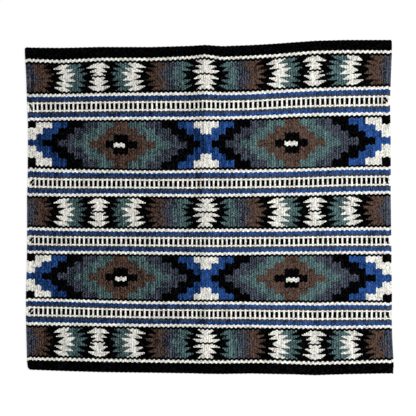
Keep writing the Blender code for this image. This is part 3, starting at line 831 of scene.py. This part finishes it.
def side_cord(half, warp, mean_u, sign):
    """The cord of a half's side edge, with a knot at each end. Gives the ends' places."""
    edge_v = lay_rows(np.array([mean_u]))[:, 0]
    here = (warp + row_number) % 2 == 0
    swell = np.where(here, FULL, SLIM) * rng.uniform(*GIRTH_RANGE, ROWS)
    angle = np.linspace(0, 2 * np.pi, CORD_SIDES, endpoint=False)
    lean_v = np.where(here, 1, -1)[:, None] * SIDE_CORD_LEAN * np.cos(angle)[None, :]
    lean_v = lean_v * np.gradient(edge_v)[:, None]
    cord_u = mean_u + side_bow(edge_v)[int(half == "off")]
    cx, cy = to_metres(cord_u, edge_v)
    ring_x = cx[:, None] + sign * SIDE_CORD_HALF * UNIT * swell[:, None] * np.cos(angle)[None, :]
    ring_z = MIDDLE_Z + SIDE_CORD_RISE * swell[:, None] * np.sin(angle)[None, :]
    strand = np.stack([ring_x, cy[:, None] - lean_v * UNIT, ring_z], 2)
    if half == "near":
        strand = strand[:, ::-1]
    gap_pick = np.where(here[:-1], row_number[:-1], row_number[:-1] + 1) + CHART_LEAD
    strands, picked, shades = [strand], [chart[gap_pick, warp]], [shade_chart[gap_pick, warp]]
    for end, row in ((0, 0), (1, -1)):
        right, rear = KNOT_PLACES[half, end]
        knot = coil(
            cx[row] + right, cy[row] - rear, KNOT_LENGTH, KNOT_TURNS, KNOT_RADIUS, KNOT_THICK
        )
        strands.append(knot)
        picked.append(np.full(len(knot) - 1, BLACK))
        shades.append(rng.normal(0, KNOT_SHADE, len(knot) - 1))
    piece = tubes(f"{half}_side_cord_loops", strands, picked, shades)
    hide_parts(f"{half}_side_cord")
    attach(piece, f"{half}_side")
    return float(cord_u[0]), float(cord_u[-1])


END_CORD_RADIUS, END_CORD_TURN, END_STEP = 0.0010, 0.0244, 0.0015
PLY_RADIUS, PLY_SIDES, PLY_RANGE, PLY_SHADE = 0.0029, 10, (0.95, 1.05), 0.5
END_CORD_INSET = 0.1  # from the edge's line inwards


def end_cord(half, name, u0, u1, edge, inward):
    """The two plies of a half's end cord, from u0 to u1 along an edge."""
    count = int((u1 - u0) * UNIT / END_STEP)
    line_u = np.linspace(u0, u1, count)
    cx, cy = to_metres(line_u, np.interp(line_u, LINE_U, edge) + inward * END_CORD_INSET)
    around = np.linspace(0, 2 * np.pi, PLY_SIDES, endpoint=False)
    ring = np.stack([np.zeros(PLY_SIDES), np.cos(around), np.sin(around)], 1)
    strands, picked, shades = [], [], []
    for ply in (0, 1):
        turn = 2 * np.pi * (cx - FOLD_X) / END_CORD_TURN + np.pi * ply
        middle = np.stack([
            cx,
            cy + END_CORD_RADIUS * np.cos(turn),
            MIDDLE_Z + END_CORD_RADIUS * np.sin(turn),
        ], 1)
        girth = PLY_RADIUS * rng.uniform(*PLY_RANGE, count)
        strands.append(middle[:, None] + girth[:, None, None] * ring[None])
        picked.append(np.full(count - 1, BLACK))
        shades.append(rng.normal(0, PLY_SHADE, count - 1))
    piece = tubes(f"{half}_end_cord_{name}_plies", strands, picked, shades)
    nodes = [f"{half}_end_cord_{name}"]
    if half == "off":
        nodes.append(f"spine_end_cord_{name}")
    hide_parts(*nodes)
    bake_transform(piece)


near_corners = side_cord("near", 0, left_mean, -1.0)
off_corners = side_cord("off", WARPS - 1, right_mean, 1.0)
for name, row, inward in (("front", 0, 1.0), ("rear", -1, -1.0)):
    end_cord("near", name, near_corners[row], FOLD_U, LINE_V[row], inward)
    end_cord("off", name, FOLD_U, off_corners[row], LINE_V[row], inward)

# ---------------------------------------------------------------- floor, light and camera
FLOOR_SIZE, FLOOR_DROP = 8.0, 0.0002
FLOOR_COLOUR, FLOOR_ROUGHNESS, FLOOR_SHINE = 0.95, 0.9, 0.1
FLOOR_GLOW = 0.75  # how much of the floor's look is its own white, which keeps the shadow pale
WORLD_LIGHT, WORLD_SEEN = 0.55, 1.0  # what the backdrop gives the scene, and what it shows


def background_rays(tree):
    """1 for the rays that show the background as it is."""
    path = tree.nodes.new("ShaderNodeLightPath")
    either = maths(tree, "MAXIMUM", path.outputs["Is Camera Ray"], path.outputs["Is Glossy Ray"])
    return maths(tree, "MAXIMUM", either, path.outputs["Is Transmission Ray"])


bpy.ops.mesh.primitive_plane_add(size=FLOOR_SIZE, location=(0, 0, -FLOOR_DROP))
floor = bpy.context.object
floor.name = "floor"
floor_material = bpy.data.materials.new("floor_white")
floor_material.use_nodes = True
tree = floor_material.node_tree
shader = tree.nodes["Principled BSDF"]
shader.inputs["Base Color"].default_value = (FLOOR_COLOUR, FLOOR_COLOUR, FLOOR_COLOUR, 1)
shader.inputs["Roughness"].default_value = FLOOR_ROUGHNESS
shader.inputs["Specular IOR Level"].default_value = FLOOR_SHINE
glow = tree.nodes.new("ShaderNodeEmission")
glow.inputs["Strength"].default_value = 1.0
mixer = tree.nodes.new("ShaderNodeMixShader")
link(tree, maths(tree, "MULTIPLY", background_rays(tree), FLOOR_GLOW), mixer.inputs["Fac"])
link(tree, shader.outputs["BSDF"], mixer.inputs[1])
link(tree, glow.outputs["Emission"], mixer.inputs[2])
link(tree, mixer.outputs["Shader"], tree.nodes["Material Output"].inputs["Surface"])
floor.data.materials.append(floor_material)

world = bpy.data.worlds.new("studio")
bpy.context.scene.world = world
world.use_nodes = True
tree = world.node_tree
background = tree.nodes["Background"]
background.inputs["Color"].default_value = (1, 1, 1, 1)
strength = maths(tree, "MULTIPLY", background_rays(tree), WORLD_SEEN - WORLD_LIGHT)
link(tree, maths(tree, "ADD", strength, WORLD_LIGHT), background.inputs["Strength"])


def lamp(name, position, size, power):
    """A square lamp that looks at the middle of the blanket."""
    data = bpy.data.lights.new(name, "AREA")
    data.shape = "SQUARE"
    data.size = size
    data.energy = power
    lamp_object = bpy.data.objects.new(name, data)
    bpy.context.scene.collection.objects.link(lamp_object)
    lamp_object.location = position
    lamp_object.rotation_euler = (-Vector(position)).to_track_quat("-Z", "Y").to_euler()


lamp("key", (1.5, 0.45, 2.6), 1.6, 65.0)
lamp("fill", (-1.6, -1.2, 2.6), 2.0, 22.0)

# The camera looks straight down and takes in the drawing's whole width.
DRAWING_WIDTH, DRAWING_CENTRE = 416, 207.5
SENSOR, LENS = 36.0, 85.0
SHARP_HEIGHT = 0.0065  # the height whose scale is the drawing's
camera_data = bpy.data.cameras.new("camera")
camera_data.sensor_width = SENSOR
camera_data.lens = LENS
camera_data.clip_end = 50.0
camera = bpy.data.objects.new("camera", camera_data)
bpy.context.scene.collection.objects.link(camera)
camera_x, camera_y = to_metres(DRAWING_CENTRE, DRAWING_CENTRE)
camera.location = (camera_x, camera_y, DRAWING_WIDTH * UNIT * LENS / SENSOR + SHARP_HEIGHT)
bpy.context.scene.camera = camera
bpy.context.scene.view_settings.view_transform = "Standard"
